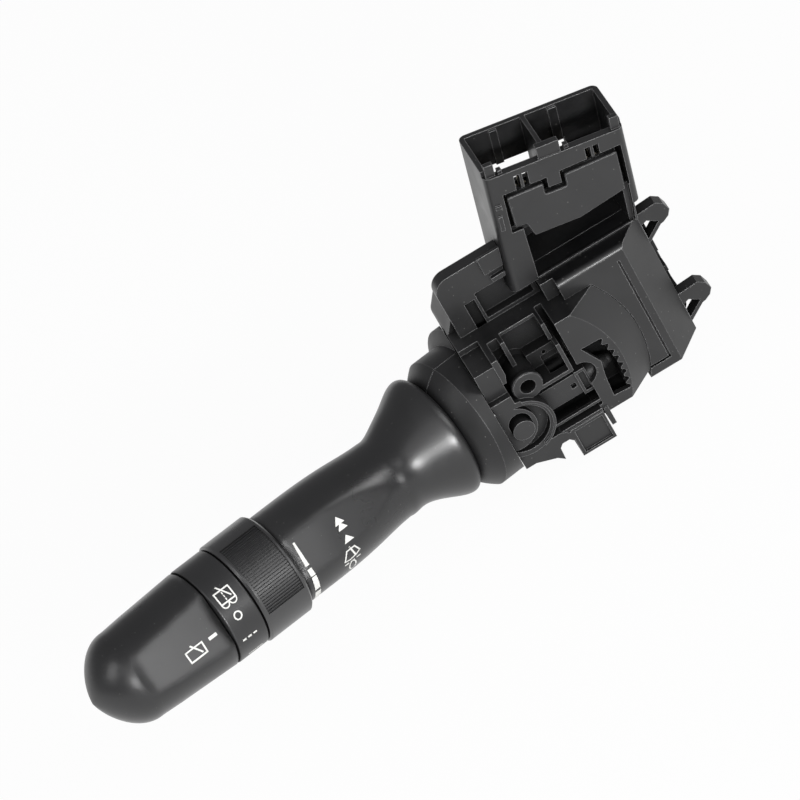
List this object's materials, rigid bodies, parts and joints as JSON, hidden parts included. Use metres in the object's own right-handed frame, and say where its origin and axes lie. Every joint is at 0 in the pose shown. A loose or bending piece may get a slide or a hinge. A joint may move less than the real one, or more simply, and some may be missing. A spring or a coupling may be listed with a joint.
{
  "type": "column stalk switch",
  "caption": "Steering column stalk switch: lever with a grooved ring and a turning end knob on a black switch body with an open detent and a twin plug housing.",
  "frame": {"origin": "centre of the mouth of the screw boss on the driver's side of the switch body", "axes": "+X along the body away from the lever, -Y towards the driver and out of the screw boss, +Z to the side of the plug housing"},
  "size_m": [0.1963, 0.0738, 0.0939],
  "materials": {
    "case_plastic": "moulded, fine spark texture",
    "cover_plastic": "moulded, fine spark texture",
    "lid_plastic": "moulded, satin",
    "tinned_brass": "tinned",
    "board_laminate": "lacquered laminate",
    "slide_plastic": "smooth, greased",
    "shroud_plastic": "semi gloss moulded",
    "zinc_steel": "zinc plated",
    "bracket_plastic": "glass filled, matt",
    "pin_steel": "ground",
    "spring_steel": "drawn wire",
    "contact_brass": "stamped",
    "grip_plastic": "moulded, fine grain",
    "collar_plastic": "moulded, fine grain",
    "wire_rubber": "extruded",
    "ring_plastic": "moulded, grooved",
    "knob_plastic": "moulded, fine grain"
  },
  "bodies": {
    "housing": {"front_case": "case_plastic", "cover_plate": "cover_plastic", "back_shell": "case_plastic", "connector_housing": "case_plastic", "connector_lid": "lid_plastic", "left_terminals": "tinned_brass", "right_terminals": "tinned_brass", "contact_board": "board_laminate", "detent_cam": "slide_plastic", "shroud_front": "shroud_plastic", "shroud_back": "shroud_plastic", "case_screws": "zinc_steel"},
    "bracket": {"swing_bracket": "bracket_plastic", "tilt_pin": "pin_steel", "detent_spring": "spring_steel"},
    "plunger": {"detent_plunger": "slide_plastic"},
    "slider": {"contact_slider": "slide_plastic", "contact_bridges": "contact_brass"},
    "lever": {"lever_core": "bracket_plastic", "grip": "grip_plastic", "marking_collar": "collar_plastic", "ring_board": "board_laminate", "knob_board": "board_laminate", "lever_harness": "wire_rubber", "pull_spring": "spring_steel"},
    "ring": {"interval_ring": "ring_plastic", "ring_contact": "contact_brass"},
    "knob": {"end_knob": "knob_plastic", "knob_contact": "contact_brass"}
  },
  "joints": [
    {"name": "lever_swing", "type": "hinge", "parent": "housing", "child": "bracket", "pos_m": [-0.0067, 0.017, -0.0108], "axis": [0, -1, 0], "range_deg": [-5, 15]},
    {"name": "lever_pull", "type": "hinge", "parent": "bracket", "child": "lever", "pos_m": [-0.0067, 0.017, -0.0108], "axis": [0, 0, 1], "range_deg": [0, 5.5], "stiffness_Nm_per_rad": 1, "springref_deg": -6.88},
    {"name": "detent_press", "type": "slide", "parent": "bracket", "child": "plunger", "axis": [1, 0, 0], "range_m": [-0.001, 0], "stiffness_N_per_m": 1500, "springref_m": 0.001, "deforming": ["detent_spring"]},
    {"name": "contact_slide", "type": "slide", "parent": "housing", "child": "slider", "axis": [0, 0, 1], "range_m": [-0.0016, 0.0048]},
    {"name": "ring_turn", "type": "hinge", "parent": "lever", "child": "ring", "pos_m": [-0.08748, -0.00785, -0.00174], "axis": [0.9503, 0.2924, -0.1066], "range_deg": [-40, 40]},
    {"name": "knob_turn", "type": "hinge", "parent": "lever", "child": "knob", "pos_m": [-0.11599, -0.01662, 0.00146], "axis": [0.9503, 0.2924, -0.1066], "range_deg": [-30, 60]}
  ],
  "couplings": [
    {"joint": "contact_slide", "follows": "lever_swing", "m_per_rad": 0.018}
  ]
}
